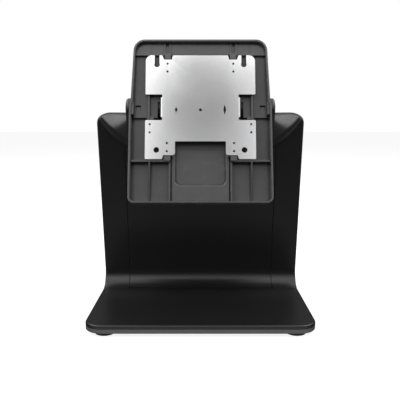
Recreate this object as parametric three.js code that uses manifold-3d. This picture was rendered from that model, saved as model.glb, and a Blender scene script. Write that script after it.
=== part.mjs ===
// Counter-top tilting stand for a touchscreen: a wide L-shaped housing on a steel foot plate, with a
// friction hinge in a cross barrel that carries a ribbed tray and a 100 x 100 mm sheet-metal mount.
// Units are millimetres. +Z is up, the user sits towards -Y, and the origin is on the resting surface
// below the centre of the foot plate.
import * as THREE from 'three';
import { mergeVertices } from 'three/addons/utils/BufferGeometryUtils.js';
import Module from 'manifold-3d';

const wasm = await Module();
wasm.setup();

const degrees = THREE.MathUtils.degToRad;

// ---------------------------------------------------------------- driving dimensions
const WIDTH = 256;                 // housing and foot plate, left to right
const DEPTH = 205;                 // foot plate, front to back
const GAP = 0.3;                   // clearance between neighbouring pieces
const RISE = 2.1;                  // heights below are drawn from this far above the resting surface
const FOOT_HEIGHT = 2.5;           // underside of the steel foot plate
const PLATE_TOP = 7.5;             // upper face of the steel foot plate
const BASE_TOP = 12;               // upper face of the plastic base
const BASE_SKIN = 2.5;             // thickness of the base's upper wall
const WALL = 3;                    // moulded housing wall
const UPRIGHT_TOP = 241.5;
const LEAN = 0.1817;               // forward run of the upright's faces per unit of height
const FRONT_Y = 53.8;              // upright's front face where it would meet the base
const THICKNESS = 52.75;           // upright, front to back, measured level
const FILLET = { y: 31, z: 31, r: 19 };   // concave sweep from the base into the upright
const CORNER = { front: 20, rear: 6, top: 14, edge: 3 };
const SCOOP = { x: 33.8, z: 292.1, r: 105.5, wall: 2.3 };   // dished shoulder beside the neck

const AXIS = { y: -7.5, z: 244 };  // hinge line, parallel to X
const TILT = degrees(15);          // the head leans back this far at rest
const NECK = { half: 87.7, bottom: 203.3, back: 60.3, wall: 2.5, r: 13.5, chin: 25, roof: 75.7 };
const SEAM = { y: 4, z: 230 };     // where the neck's two covers meet

const COVER = { half: 94.6, top: 197.1, thick: 2.5, corner: 5 };            // front cable cover
const WINDOW = { half: 84, bottom: 45, top: 186 };                          // opening behind it
const LEDGE = { thick: 2.5, border: 3.4 };                                  // seat around a cover
const REAR = { half: 85, bottom: 40.3, top: 204.7, thick: 2.2, rim: 9 };    // rear cover
const OUTLET = { half: 25, top: 62 };                                       // cable outlet at its foot

const FRAME = { half: 72, sheet: 2.5, front: 14, back: 37.5, top: 236, footFront: 62, footBack: 97 };
const BRACKET = { inner: 72.3, sheet: 3, r: 9.5 };
const SHAFT = { r: 4, flat: 3, head: 6, headStart: 42, end: 83.5, running: 0.3 };

const SHEET = { front: 26, thick: 1.7 };        // mount plate, measured out from the hinge line
const EAR = { outer: 46.3, top: 7.2, bottom: -15.6, r: 9 };
const VESA = { x: 50, top: 46.2, bottom: -53.9, r: 3.2, slot: 2.8 };
const TRAY = {
  rim: 29, wall: 2.2, floor: 12.5, band: 17, bandTop: 3.4, bandBottom: -14.3, upper: 20, shelf: 23, step: 59,
};
const TRAY_TOP = 75.3;
const TRAY_BOTTOM = -114.6;
const BARREL_ROOM = 15.2;                       // hollow behind the tray that turns about the barrel

// ---------------------------------------------------------------- shape and solid helpers
const faceY = (z) => FRONT_Y - LEAN * (z - BASE_TOP);
const polygon = (points) => new THREE.Shape(points.map(([x, y]) => new THREE.Vector2(x, y)));

// Closed outline through [x, y, radius] corners, each rounded with a tangent arc.
function outline(corners) {
  const shape = new THREE.Shape();
  const count = corners.length;
  corners.forEach(([x, y, radius = 0], i) => {
    const reach = (point) => (i === 0 ? shape.moveTo(...point) : shape.lineTo(...point));
    if (radius === 0) {
      reach([x, y]);
      return;
    }
    const here = new THREE.Vector2(x, y);
    const back = new THREE.Vector2(...corners[(i + count - 1) % count]).sub(here).normalize();
    const ahead = new THREE.Vector2(...corners[(i + 1) % count]).sub(here).normalize();
    const half = Math.acos(back.dot(ahead)) / 2;
    const run = radius / Math.tan(half);
    const start = here.clone().addScaledVector(back, run);
    const end = here.clone().addScaledVector(ahead, run);
    const inward = back.clone().add(ahead).normalize();
    const centre = here.clone().addScaledVector(inward, radius / Math.sin(half));
    const from = Math.atan2(start.y - centre.y, start.x - centre.x);
    const to = Math.atan2(end.y - centre.y, end.x - centre.x);
    reach([start.x, start.y]);
    shape.absarc(centre.x, centre.y, radius, from, to, back.cross(ahead) > 0);
  });
  shape.closePath();
  return shape;
}

// Right half of a symmetric outline, from its top to its bottom, completed with its mirror image.
const mirrored = (half) => outline([...half, ...half.toReversed().map(([x, y, r]) => [-x, y, r])]);

function solid(geometry) {
  const bare = geometry.clone();
  bare.deleteAttribute('normal');
  bare.deleteAttribute('uv');
  const merged = mergeVertices(bare, 1e-4);
  return new wasm.Manifold(new wasm.Mesh({
    numProp: 3,
    vertProperties: new Float32Array(merged.attributes.position.array),
    triVerts: new Uint32Array(merged.index.array),
  }));
}

function geometryOf(body) {
  const mesh = body.getMesh();
  const geometry = new THREE.BufferGeometry();
  geometry.setAttribute('position', new THREE.BufferAttribute(mesh.vertProperties, 3));
  geometry.setIndex(new THREE.BufferAttribute(mesh.triVerts, 1));
  return geometry;
}

const join = (...bodies) => bodies.flat().reduce((sum, body) => sum.add(body));
const cut = (body, ...tools) => tools.flat().reduce((rest, tool) => rest.subtract(tool), body);

// Prisms along each axis. Their outlines are drawn in (x, y), (x, z) and (y, z).
function extruded(shape, depth, curveSegments) {
  return new THREE.ExtrudeGeometry(shape, { depth, bevelEnabled: false, curveSegments });
}
const prismZ = (shape, z0, z1, segments = 4) => extruded(shape, z1 - z0, segments).translate(0, 0, z0);
const prismY = (shape, y0, y1, segments = 4) =>
  extruded(shape, y1 - y0, segments).rotateX(Math.PI / 2).translate(0, y1, 0);
const prismX = (shape, x0, x1, segments = 4) =>
  extruded(shape, x1 - x0, segments).rotateX(Math.PI / 2).rotateZ(Math.PI / 2).translate(x0, 0, 0);
const block = (x0, x1, y0, y1, z0, z1) => new THREE.BoxGeometry(x1 - x0, y1 - y0, z1 - z0)
  .translate((x0 + x1) / 2, (y0 + y1) / 2, (z0 + z1) / 2);
const box = (...sides) => solid(block(...sides));
const rodZ = (x, y, z0, z1, r, segments = 12) => solid(
  new THREE.CylinderGeometry(r, r, z1 - z0, segments).rotateX(Math.PI / 2).translate(x, y, (z0 + z1) / 2));
const rodX = (x0, x1, y, z, r, segments = 12) => solid(
  new THREE.CylinderGeometry(r, r, x1 - x0, segments).rotateZ(Math.PI / 2).translate((x0 + x1) / 2, y, z));

// Solid of revolution about Z from [radius, height] points, listed upwards on the outside.
const turned = (profile, segments) => solid(new THREE.LatheGeometry(
  profile.map(([x, y]) => new THREE.Vector2(x, y)), segments).rotateX(Math.PI / 2));

// Shears an upright shape so that it follows the upright's leaning faces.
const leaning = (geometry) => geometry.applyMatrix4(
  new THREE.Matrix4().set(1, 0, 0, 0, 0, 1, -LEAN, LEAN * BASE_TOP, 0, 0, 1, 0, 0, 0, 0, 1));

// Box between two level depths behind the upright's leaning front face.
const leaningBox = (x0, x1, d0, d1, z0, z1) =>
  solid(leaning(block(x0, x1, FRONT_Y + d0, FRONT_Y + d1, z0, z1)));

// ---------------------------------------------------------------- scene graph
const finish = (color, roughness, metalness) => () =>
  new THREE.MeshStandardMaterial({ color, roughness, metalness });
const glossBlack = finish(0x141416, 0.28, 0);
const greyMoulding = finish(0x4a4a4b, 0.6, 0);
const platedSteel = finish(0xc9c9cc, 0.35, 1);
const paintedSteel = finish(0x4c4c50, 0.45, 0.3);
const bareSteel = finish(0x9a9ca0, 0.45, 1);
const blackScrew = finish(0x2a2b2e, 0.4, 1);
const greyRubber = finish(0x3c3c3e, 0.85, 0);

const model = new THREE.Group();
const stand = new THREE.Group();
stand.position.z = RISE;
model.add(stand);
// The head's own frame has X across, Y up the tray and Z out towards the user, on the hinge line.
const head = new THREE.Group();
head.position.set(0, AXIS.y, AXIS.z);
head.rotation.x = Math.PI / 2 - TILT;
stand.add(head);

function place(name, body, look, parent = stand) {
  const mesh = new THREE.Mesh(geometryOf(body), look());
  mesh.name = name;
  parent.add(mesh);
  return mesh;
}
const SIDES = [['left', -1], ['right', 1]];
const span = (side, near, far) => (side > 0 ? [near, far] : [-far, -near]);

// ---------------------------------------------------------------- fasteners
const SHELL_SCREW = {
  r: 1.5, length: 5.5, head: 3, height: 2, at: [[-60, -84], [60, -84], [-84, 92], [84, 92]],
};
const FRAME_SCREW = {
  r: 2.5, length: 6.5, head: 4.5, height: 2.6, at: [[-50, 70], [50, 70], [-50, 88], [50, 88]],
};
const BRACKET_SCREW = { r: 2, length: 9, head: 3.5, height: 2.4, at: [[40, 214], [38, 230]] };
const REAR_SCREW = { r: 1.5, length: 6, head: 3, height: 1.8, x: 60, z: 200.3 };
const ROOM = 0.5;                               // radial room around a screw's head
const FOOT = { x: 106, y: 86.5, r: 11.5, seat: 1.5 };

// Cap screw with a hex socket: its head starts at z = 0 and its shank points along +Z.
function screw({ r, length, head: headRadius, height }) {
  const profile = [[0, 0], [headRadius - 0.3, 0], [headRadius, 0.3], [headRadius, height], [r, height],
    [r, height + length], [0, height + length]];
  return cut(turned(profile, 10), rodZ(0, 0, -1, height * 0.6, headRadius * 0.5, 6));
}

// Holes square to the upright's rear face, through its cover and the ledge below it.
function rearScrewHoles() {
  const radius = REAR_SCREW.r + GAP;
  return SIDES.map(([, side]) => solid(
    new THREE.CylinderGeometry(radius, radius, 24, 12).rotateX(Math.atan(LEAN))
      .translate(side * REAR_SCREW.x, faceY(REAR_SCREW.z) + THICKNESS, REAR_SCREW.z)));
}

function addFasteners() {
  const under = FOOT_HEIGHT + GAP;
  SHELL_SCREW.at.forEach(([x, y], i) => {
    place(`shell_screw_${i + 1}`, screw(SHELL_SCREW), blackScrew).position.set(x, y, under);
  });
  FRAME_SCREW.at.forEach(([x, y], i) => {
    place(`frame_screw_${i + 1}`, screw(FRAME_SCREW), bareSteel).position.set(x, y, under);
  });
  const outside = BRACKET.inner + BRACKET.sheet + GAP + BRACKET_SCREW.height;
  SIDES.forEach(([name, side]) => BRACKET_SCREW.at.forEach(([y, z], i) => {
    const mesh = place(`bracket_screw_${name}_${i + 1}`, screw(BRACKET_SCREW), bareSteel);
    mesh.rotation.y = -side * Math.PI / 2;
    mesh.position.set(side * outside, y, z);
  }));
  SIDES.forEach(([name, side]) => {
    const mesh = place(`rear_cover_screw_${name}`, screw(REAR_SCREW), blackScrew);
    const proud = REAR_SCREW.height + GAP;
    const tip = Math.atan(LEAN);
    mesh.rotation.x = Math.PI / 2 + tip;
    mesh.position.set(side * REAR_SCREW.x, faceY(REAR_SCREW.z) + THICKNESS + proud * Math.cos(tip),
      REAR_SCREW.z + proud * Math.sin(tip));
  });
}

// ---------------------------------------------------------------- foot plate and feet
const basePlan = (inset) => outline([
  [-WIDTH / 2 + inset, -DEPTH / 2 + inset, CORNER.front - inset],
  [WIDTH / 2 - inset, -DEPTH / 2 + inset, CORNER.front - inset],
  [WIDTH / 2 - inset, DEPTH / 2 - inset, CORNER.rear - inset],
  [-WIDTH / 2 + inset, DEPTH / 2 - inset, CORNER.rear - inset],
]);

function addFoot() {
  const plate = solid(prismZ(basePlan(0), FOOT_HEIGHT, PLATE_TOP, 6));
  const counterbores = [SHELL_SCREW, FRAME_SCREW].flatMap((kind) => kind.at.flatMap(([x, y]) => [
    rodZ(x, y, FOOT_HEIGHT - 1, FOOT_HEIGHT + kind.height + 2 * GAP, kind.head + ROOM),
    rodZ(x, y, FOOT_HEIGHT, PLATE_TOP + 1, kind.r + GAP, 8),
  ]));
  const corners = [['front', -1], ['rear', 1]].flatMap(([end, sy]) =>
    SIDES.map(([side, sx]) => [`${end}_${side}`, sx, sy]));
  const seats = corners.map(([, sx, sy]) =>
    rodZ(sx * FOOT.x, sy * FOOT.y, FOOT_HEIGHT - 1, FOOT_HEIGHT + FOOT.seat, FOOT.r + GAP, 16));
  place('foot_plate', cut(plate, counterbores, seats), paintedSteel);

  const top = RISE + FOOT_HEIGHT + FOOT.seat - GAP;
  const profile = [[0, 0], [FOOT.r - 1.2, 0], [FOOT.r, 1], [FOOT.r, top], [0, top]];
  corners.forEach(([name, sx, sy]) => {
    place(`foot_${name}`, turned(profile, 16), greyRubber)
      .position.set(sx * FOOT.x, sy * FOOT.y, -RISE);
  });
}

// ---------------------------------------------------------------- housing
// Points down the swept front face at a depth below it, from the height `low` up to `top`.
function sweep(depth, low, top, steps = 6) {
  const radius = FILLET.r + depth;
  const start = -Math.asin(Math.min(1, (FILLET.z - low) / radius));
  const end = Math.atan(LEAN);
  const arc = Array.from({ length: steps + 1 }, (_, i) => {
    const angle = start + (end - start) * i / steps;
    return [FILLET.y + radius * Math.cos(angle), FILLET.z + radius * Math.sin(angle)];
  });
  return [...arc, [faceY(top) + depth * Math.hypot(1, LEAN), top]];
}
const sweptStrip = (shallow, deep, low, top) =>
  polygon([...sweep(shallow, low, top), ...sweep(deep, low, top).toReversed()]);
const roundedTop = (half, bottom, top, r) =>
  outline([[-half, bottom], [half, bottom], [half, top, r], [-half, top, r]]);

// Space above each dished shoulder. It is swept up and back at 45 degrees from an arc on the face.
function scoops() {
  const raise = new THREE.Matrix4().set(1, 0, 0, 0, 0, 1, 0, 0, 0, 1, 1, 0, 0, 0, 0, 1);
  const steps = 9;
  const [from, to] = [degrees(-22), degrees(-60.6)];
  return SIDES.map(([, side]) => {
    const arc = Array.from({ length: steps + 1 }, (_, i) => {
      const angle = from + (to - from) * i / steps;
      const z = SCOOP.z + SCOOP.r * Math.sin(angle);
      return [side * (SCOOP.x + SCOOP.r * Math.cos(angle)), z - faceY(z)];
    });
    const closing = [[arc[steps][0], UPRIGHT_TOP + 40], [arc[0][0], UPRIGHT_TOP + 40]];
    const shape = polygon([...arc, ...closing]);
    return solid(prismY(shape, -5, 80).applyMatrix4(raise));
  });
}

function addHousing() {
  const half = WIDTH / 2;
  const uprightPlan = outline([
    [-half, FRONT_Y, CORNER.edge], [half, FRONT_Y, CORNER.edge],
    [half, FRONT_Y + THICKNESS, CORNER.rear], [-half, FRONT_Y + THICKNESS, CORNER.rear],
  ]);
  const column = solid(leaning(prismZ(uprightPlan, BASE_TOP - 2, UPRIGHT_TOP + 5)));
  const front = solid(prismY(roundedTop(half, 0, UPRIGHT_TOP, CORNER.top), -DEPTH / 2, DEPTH / 2, 6));
  const shoulders = scoops();
  const upright = cut(column.intersect(front), shoulders);

  const base = solid(prismZ(basePlan(0), PLATE_TOP + GAP, BASE_TOP, 6));
  const behind = FRONT_Y + 6;
  const flare = solid(prismX(
    polygon([...sweep(0, BASE_TOP, 40), [behind, 40], [behind, BASE_TOP - 1], [FILLET.y, BASE_TOP - 1]]),
    -half, half));
  const outer = join(base, flare, upright);

  const inside = half - WALL;
  const ceiling = UPRIGHT_TOP - WALL;
  const cavity = leaningBox(-inside, inside, WALL, THICKNESS - WALL, 0, ceiling).intersect(
    solid(prismY(roundedTop(inside, 0, ceiling, CORNER.top - WALL), 0, DEPTH / 2 - WALL)));
  const hollow = join(
    solid(prismZ(basePlan(WALL), 0, BASE_TOP - BASE_SKIN, 6)),
    cut(cavity, shoulders.map((shoulder) => shoulder.translate([0, SCOOP.wall, -SCOOP.wall]))),
  );

  const coverSeat = COVER.thick + GAP;
  const frontLedge = cut(
    solid(prismX(sweptStrip(coverSeat, coverSeat + LEDGE.thick, BASE_TOP - 2, COVER.top + LEDGE.border),
      -COVER.half - LEDGE.border, COVER.half + LEDGE.border)),
    box(-WINDOW.half, WINDOW.half, 0, DEPTH / 2, WINDOW.bottom, WINDOW.top),
  );
  const frontRecess = solid(prismX(
    polygon([[0, BASE_TOP], ...sweep(coverSeat, BASE_TOP, COVER.top + GAP), [0, COVER.top + GAP]]),
    -COVER.half - GAP, COVER.half + GAP,
  )).intersect(solid(prismY(roundedTop(COVER.half + GAP, 0, COVER.top + GAP, COVER.corner), 0, DEPTH / 2)));
  const frontWindow = box(-WINDOW.half, WINDOW.half, 0, FRONT_Y + 8, WINDOW.bottom, WINDOW.top)
    .intersect(leaningBox(-half, half, -10, 10, 0, UPRIGHT_TOP));

  const rearSeat = THICKNESS - REAR.thick - GAP;
  const rearLedge = leaningBox(-REAR.half - LEDGE.border, REAR.half + LEDGE.border,
    rearSeat - LEDGE.thick, rearSeat, REAR.bottom - LEDGE.border, REAR.top + LEDGE.border);
  const rearRecess = leaningBox(-REAR.half - GAP, REAR.half + GAP, rearSeat, THICKNESS + 5,
    REAR.bottom - GAP, REAR.top + GAP);
  const rearWindow = leaningBox(-REAR.half + REAR.rim, REAR.half - REAR.rim, rearSeat - 5, THICKNESS,
    REAR.bottom + REAR.rim, REAR.top - REAR.rim);
  const outlet = leaningBox(-OUTLET.half, OUTLET.half, rearSeat - 5, THICKNESS + 5,
    REAR.bottom - GAP, OUTLET.top);

  const bosses = SHELL_SCREW.at.map(([x, y]) => (y < 0
    ? rodZ(x, y, PLATE_TOP + GAP, BASE_TOP - 1, 4, 12)
    : box(x - 4, x + 4, y - 4, DEPTH / 2 - 1, PLATE_TOP + GAP, 30)));
  const pilots = SHELL_SCREW.at.map(([x, y]) => rodZ(x, y, 0, BASE_TOP - 0.9, SHELL_SCREW.r + GAP, 12));

  const neckNotch = box(-NECK.half - GAP, NECK.half + GAP, -20, NECK.back + GAP,
    NECK.bottom - GAP, UPRIGHT_TOP + 5);

  const walls = join(cut(outer, hollow), frontLedge, rearLedge, bosses);
  place('housing', cut(walls, frontRecess, frontWindow, rearRecess, rearWindow, outlet, pilots,
    rearScrewHoles(), neckNotch), glossBlack);
}

function addCovers() {
  const low = BASE_TOP + GAP;
  const blunt = 0.6;                            // thickness of the front cover's lower edge
  const outside = sweep(0, low + blunt, COVER.top);
  const inside = sweep(COVER.thick, low, COVER.top);
  const section = polygon([[outside[0][0], low], ...outside, ...inside.toReversed()]);
  const skin = solid(prismX(section, -COVER.half, COVER.half))
    .intersect(solid(prismY(roundedTop(COVER.half, 0, COVER.top, COVER.corner), 0, DEPTH / 2)));
  const hooks = SIDES.flatMap(([, side]) => [60, 160].map((z) => {
    const [x0, x1] = span(side, WINDOW.half - 3, WINDOW.half - 1);
    return leaningBox(x0, x1, COVER.thick - 1, COVER.thick + 6, z, z + 12);
  }));
  place('front_cover', join(skin, hooks), glossBlack);

  const panel = leaningBox(-REAR.half, REAR.half, THICKNESS - REAR.thick, THICKNESS, REAR.bottom, REAR.top);
  const mouth = leaningBox(-OUTLET.half, OUTLET.half, 0, THICKNESS + 5, 0, OUTLET.top);
  place('rear_cover', cut(panel, mouth, rearScrewHoles()), glossBlack);
}

// ---------------------------------------------------------------- neck
// Section of the neck: barrel round the hinge line, sloping roof behind it and chin below it.
function neckSection(inset) {
  const chin = degrees(180 + NECK.chin);
  const roof = degrees(NECK.roof);
  const r = NECK.r - inset;
  const along = 26;                             // straight length of the chin
  const onChin = [AXIS.y + r * Math.cos(chin), AXIS.z + r * Math.sin(chin)];
  const endChin = [
    onChin[0] + along * Math.sin(degrees(NECK.chin)), onChin[1] - along * Math.cos(degrees(NECK.chin))];
  const faceAt = faceY(NECK.bottom);
  const shape = new THREE.Shape();
  if (inset === 0) shape.moveTo(faceAt, NECK.bottom);
  else {
    shape.moveTo(faceAt + inset, NECK.bottom - 5);
    shape.lineTo(faceAt + inset, NECK.bottom + inset);
  }
  shape.lineTo(faceAt, NECK.bottom + inset);
  shape.quadraticCurveTo(endChin[0] + 5 + inset / 2, NECK.bottom + 1.2 + inset, ...endChin);
  shape.lineTo(...onChin);
  shape.absarc(AXIS.y, AXIS.z, r, chin, roof, true);
  shape.lineTo(NECK.back - 8, 243 - inset);
  shape.lineTo(NECK.back - inset, 241.8 - inset);
  shape.lineTo(NECK.back - inset, inset === 0 ? NECK.bottom : NECK.bottom - 5);
  shape.closePath();
  return shape;
}

function addNeck() {
  const outer = solid(prismX(neckSection(0), -NECK.half, NECK.half, 10));
  const inner = solid(prismX(neckSection(NECK.wall), -NECK.half + NECK.wall, NECK.half - NECK.wall, 10));
  // Slots for the mount plate's ears, open over the arc that they swing through.
  const reach = 45;
  const swing = [-62, -20, 20, 60, 95, 120].map((angle) =>
    [AXIS.y - reach * Math.cos(degrees(angle)), AXIS.z + reach * Math.sin(degrees(angle))]);
  const slots = SIDES.map(([, side]) => solid(
    prismX(polygon([[AXIS.y, AXIS.z], ...swing]), ...span(side, EAR.outer - 2.4, EAR.outer + 0.7))));
  const shell = cut(outer, inner, slots);
  const roofBox = (inset) => box(-WIDTH, WIDTH, SEAM.y + inset, DEPTH, SEAM.z + inset, UPRIGHT_TOP + 40);
  place('neck_cover_front', cut(shell, roofBox(-GAP / 2)), glossBlack);
  place('neck_cover_top', shell.intersect(roofBox(GAP / 2)), glossBlack);
}

// ---------------------------------------------------------------- steelwork and hinge
function addSteelwork() {
  const { half, sheet, front, back, top } = FRAME;
  const low = PLATE_TOP + GAP;
  const web = leaningBox(-half, half, back - sheet, back, low, top);
  const flanges = SIDES.map(([, side]) =>
    leaningBox(...span(side, half - sheet, half), front, back, low, top));
  const foot = box(-half, half, FRAME.footFront, FRAME.footBack, low, low + sheet);
  const cableWindow = leaningBox(-30, 30, 0, THICKNESS, 25, 80);
  const footHoles = FRAME_SCREW.at.map(([x, y]) => rodZ(x, y, 0, 20, FRAME_SCREW.r + GAP, 8));
  const sideHoles = BRACKET_SCREW.at.map(([y, z]) => rodX(-WIDTH, WIDTH, y, z, BRACKET_SCREW.r + GAP, 8));
  const inside = box(-WIDTH, WIDTH, 0, DEPTH / 2 - WALL - 1, 0, UPRIGHT_TOP);
  const folded = join(web, flanges, foot).intersect(inside);
  place('upright_frame', cut(folded, cableWindow, footHoles, sideHoles), bareSteel);

  const arm = new THREE.Shape();
  arm.moveTo(30, 206);
  arm.lineTo(50, 206);
  arm.lineTo(50, 235);
  arm.lineTo(22, 237);
  arm.absarc(AXIS.y, AXIS.z, BRACKET.r, degrees(58), degrees(235), false);
  arm.closePath();
  const pivot = rodX(-WIDTH, WIDTH, AXIS.y, AXIS.z, SHAFT.r + SHAFT.running);
  SIDES.forEach(([name, side]) => {
    const plate = solid(prismX(arm, ...span(side, BRACKET.inner, BRACKET.inner + BRACKET.sheet), 10));
    place(`hinge_bracket_${name}`, cut(plate, pivot, sideHoles), bareSteel);
  });
}

// Everything that turns with the shaft, laid out along the hinge line from the middle outwards.
function addHinges() {
  const { r, flat, head: headRadius, headStart, end } = SHAFT;
  const inBracket = BRACKET.inner;
  const outBracket = BRACKET.inner + BRACKET.sheet;
  const collar = [inBracket - 4.3, inBracket - 1.6];
  const washer = [inBracket - 1.3, inBracket - GAP];
  const spring = [outBracket + GAP, outBracket + 2.1];
  const nut = [outBracket + 2.4, outBracket + 7];
  const ring = (side, [near, far], radius, segments = 12) =>
    cut(rodX(...span(side, near, far), 0, 0, radius, segments), rodX(-WIDTH, WIDTH, 0, 0, r + GAP));
  SIDES.forEach(([name, side]) => {
    const flange = rodX(...span(side, headStart, headStart + 2.3), 0, 0, headRadius);
    const flats = [-1, 1].map((turn) => box(...span(side, headStart + 2.3, EAR.outer + GAP), -WIDTH, WIDTH,
      ...(turn > 0 ? [flat, r + 1] : [-r - 1, -flat])));
    const barrel = cut(rodX(...span(side, headStart + 2.2, end), 0, 0, r), flats);
    const shoulder = rodX(...span(side, ...collar), 0, 0, 7);
    place(`hinge_shaft_${name}`, join(flange, barrel, shoulder), bareSteel, head);
    place(`friction_washer_${name}`, ring(side, washer, 8.5), blackScrew, head);
    const [near, far] = spring;
    const cone = [[r + GAP, near], [8.2, near + 0.7], [8.2, far], [r + GAP, near + 1.1]];
    const dish = solid(new THREE.LatheGeometry(
      [...cone, cone[0]].map(([x, y]) => new THREE.Vector2(x, y)), 12).rotateZ(-side * Math.PI / 2));
    place(`spring_washer_${name}`, dish, bareSteel, head);
    place(`hinge_nut_${name}`, ring(side, nut, 7, 6), bareSteel, head);
  });
}

// ---------------------------------------------------------------- mount plate
function addMountPlate() {
  const bend = 43.7;                            // inner end of the reliefs beside each ear
  const half = [
    [31.8, 57.2], [33.1, 52.1, 0.5], [42.1, 52.1, 0.5], [43.9, 57.2, 0.8], [62.9, 57.2, 7],
    [62.9, 10.8, 1], [bend, 10.8, 0.8], [bend, EAR.top, 0.8], [EAR.outer, EAR.top], [EAR.outer, EAR.bottom],
    [bend, EAR.bottom, 0.8], [bend, -19.3, 0.8], [63, -19.3, 1], [63, -64.4, 1], [43.6, -64.4, 0.8],
    [42.3, -59.9, 0.5], [28.8, -59.9, 3], [28.8, -44, 0.5],
  ];
  const back = SHEET.front - SHEET.thick;
  const sheet = solid(prismZ(mirrored(half), back, SHEET.front, 2));
  const through = (x, y, r, segments = 6) => rodZ(x, y, back - 1, SHEET.front + 1, r, segments);
  const small = 1.25;
  const pairs = [[37.9, 47.2], [37.9, 37.9], [38.1, -45.95], [38.1, -55.3], [57.8, -24.1], [57.8, -33.5]];
  const holes = [
    through(0, -7.3, 1.6, 8),
    ...[-1, 1].flatMap((side) => pairs.map(([x, y]) => through(side * x, y, small))),
    ...[-1, 1].flatMap((side) => [
      through(side * VESA.x, VESA.top, VESA.r, 14),
      through(side * VESA.x, VESA.bottom, VESA.r, 14),
      box(side * VESA.x - VESA.slot, side * VESA.x + VESA.slot, VESA.top, 60, back - 1, SHEET.front + 1),
    ]),
    ...[[-27.7, 3.2], [27.7, 6]].map(([x, tall]) => solid(prismZ(
      polygon([[x - 1.6, -7.2], [x, -7.2 - tall], [x + 1.6, -7.2], [x, -7.2 + tall]]),
      back - 1, SHEET.front + 1, 2))),
  ];
  // Ears bent back from the sheet to the hinge line, with a two-flat hole that keys onto the shaft.
  const profile = new THREE.Shape();
  profile.moveTo(EAR.bottom, SHEET.front - 0.8);
  profile.lineTo(EAR.bottom, 17);
  profile.absarc(0, 0, EAR.r, degrees(195), degrees(360), false);
  profile.lineTo(EAR.top, 15);
  profile.lineTo(EAR.top, SHEET.front - 0.8);
  profile.closePath();
  const ears = SIDES.map(([, side]) => solid(
    prismX(profile, ...span(side, EAR.outer - SHEET.thick, EAR.outer), 8)));
  const key = rodX(-WIDTH, WIDTH, 0, 0, SHAFT.r + GAP)
    .intersect(box(-WIDTH, WIDTH, -9, 9, -SHAFT.flat - GAP, SHAFT.flat + GAP));
  place('mount_plate', cut(join(sheet, ears), holes, key), platedSteel, head);
}

// ---------------------------------------------------------------- tray
function trayOutline(inset) {
  return mirrored([
    [76.5 - inset, TRAY_TOP - inset, 13 - inset], [79.7 - inset, 2.2], [81.4 - inset, -0.6],
    [81.9 - inset, TRAY_BOTTOM + inset, 7 - inset],
  ]);
}

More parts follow.
